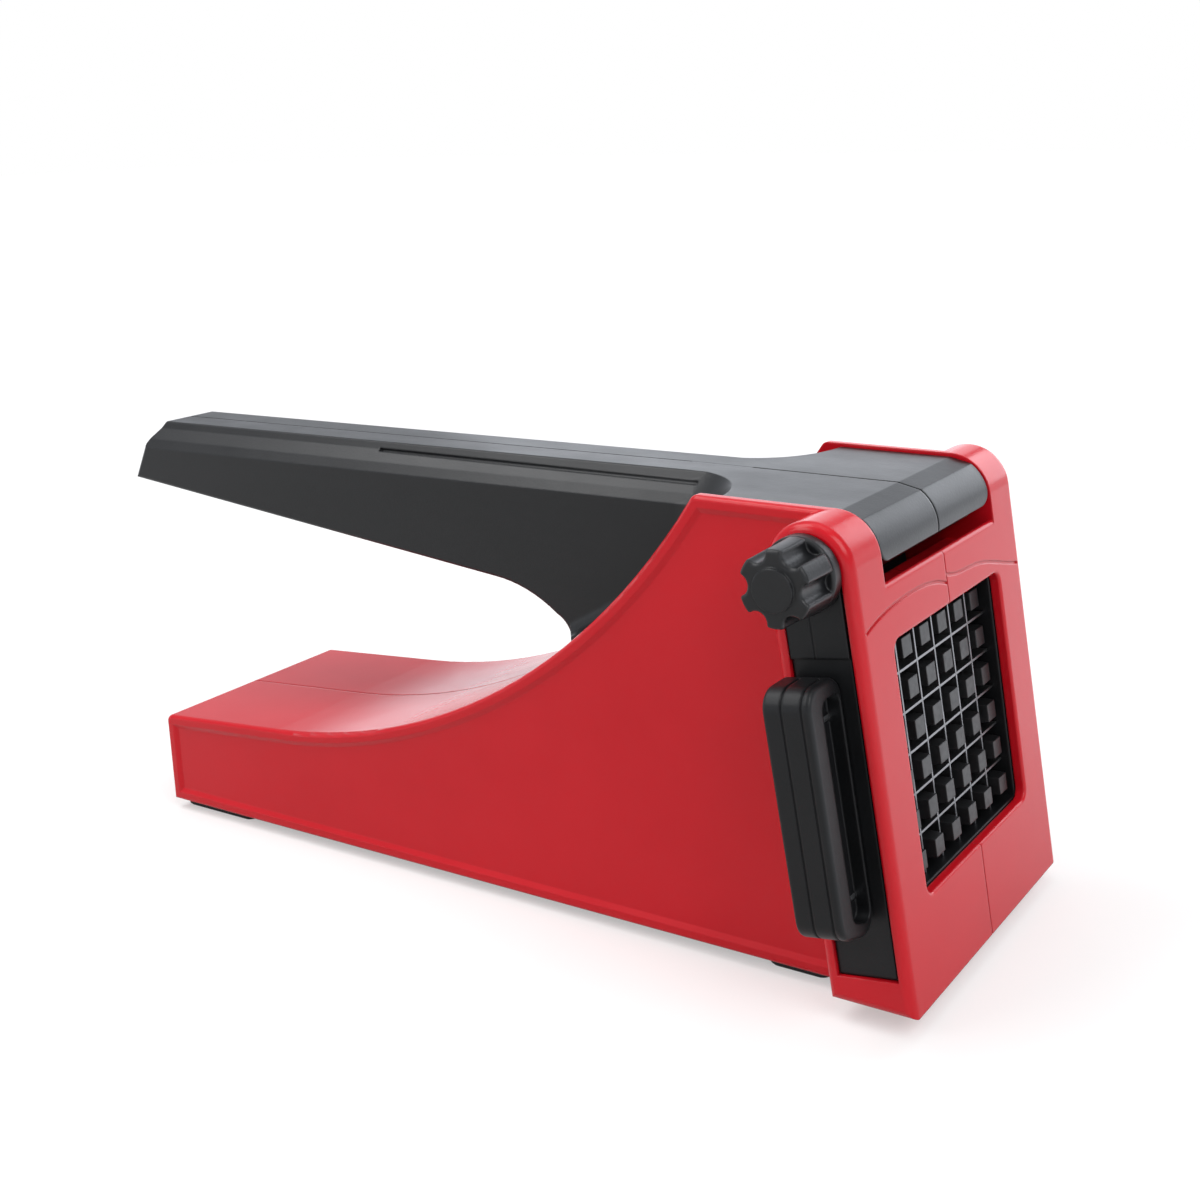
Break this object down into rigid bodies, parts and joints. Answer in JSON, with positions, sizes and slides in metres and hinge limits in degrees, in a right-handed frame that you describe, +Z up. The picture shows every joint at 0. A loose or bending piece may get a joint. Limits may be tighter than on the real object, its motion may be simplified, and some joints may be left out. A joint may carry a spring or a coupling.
{
  "type": "french fry cutter",
  "caption": "Lever french fry cutter: red body with a leaning front window, black lever with a pusher of square pins, sliding blade cartridge and side clamping knob.",
  "frame": {"origin": "middle of the whole cutter's footprint, at the height of the table it stands on", "axes": "+X from the lever's free end towards the fry window, +Z up, -Y is the side of the clamping knob and grip"},
  "size_m": [0.2816, 0.1068, 0.1198],
  "materials": {
    "red_plastic": "glossy moulded red",
    "black_plastic": "satin moulded black",
    "grey_plastic": "dark grey moulded",
    "blade_steel": "thin stainless strip",
    "zinc_steel": "zinc plated",
    "nylon": "natural nylon",
    "foot_rubber": "matt black",
    "brass_insert": "turned"
  },
  "bodies": {
    "cutter_body": {"body_shell_right": "red_plastic", "body_shell_left": "red_plastic", "base_cover": "black_plastic", "body_screws": "zinc_steel", "base_screws": "zinc_steel", "foot_front_right": "foot_rubber", "foot_front_left": "foot_rubber", "foot_rear_right": "foot_rubber", "foot_rear_left": "foot_rubber", "pivot_axle": "zinc_steel", "axle_washer": "zinc_steel", "cartridge_frame": "black_plastic", "blade_retainer": "black_plastic", "retainer_screws": "zinc_steel", "pull_grip": "black_plastic", "grip_screws": "zinc_steel", "vertical_blade_1": "blade_steel", "horizontal_blade_1": "blade_steel", "vertical_blade_2": "blade_steel", "horizontal_blade_2": "blade_steel", "vertical_blade_3": "blade_steel", "horizontal_blade_3": "blade_steel", "vertical_blade_4": "blade_steel", "horizontal_blade_4": "blade_steel", "vertical_blade_5": "blade_steel", "horizontal_blade_5": "blade_steel"},
    "lever": {"lever_shell_right": "black_plastic", "lever_shell_left": "black_plastic", "lever_screws": "zinc_steel", "pivot_bush_right": "nylon", "pivot_bush_left": "nylon", "pusher": "grey_plastic", "pusher_screws": "zinc_steel"},
    "clamp_washer": {"knob_washer": "zinc_steel"},
    "clamp_knob": {"knob": "black_plastic", "knob_insert": "brass_insert"}
  },
  "joints": [
    {"name": "lever_pivot", "type": "hinge", "parent": "cutter_body", "child": "lever", "pos_m": [0.11495, 0.00765, 0.10879], "axis": [0, 1, 0], "range_deg": [0, 90]},
    {"name": "knob_travel", "type": "slide", "parent": "cutter_body", "child": "clamp_washer", "axis": [0, -1, 0], "range_m": [0, 0.0051]},
    {"name": "knob_turn", "type": "hinge", "parent": "clamp_washer", "child": "clamp_knob", "pos_m": [0.11495, -0.03885, 0.10879], "axis": [0, -1, 0], "range_deg": [0, 1800]}
  ],
  "couplings": [
    {"joint": "knob_travel", "follows": "knob_turn", "m_per_rad": 0.00015915}
  ]
}
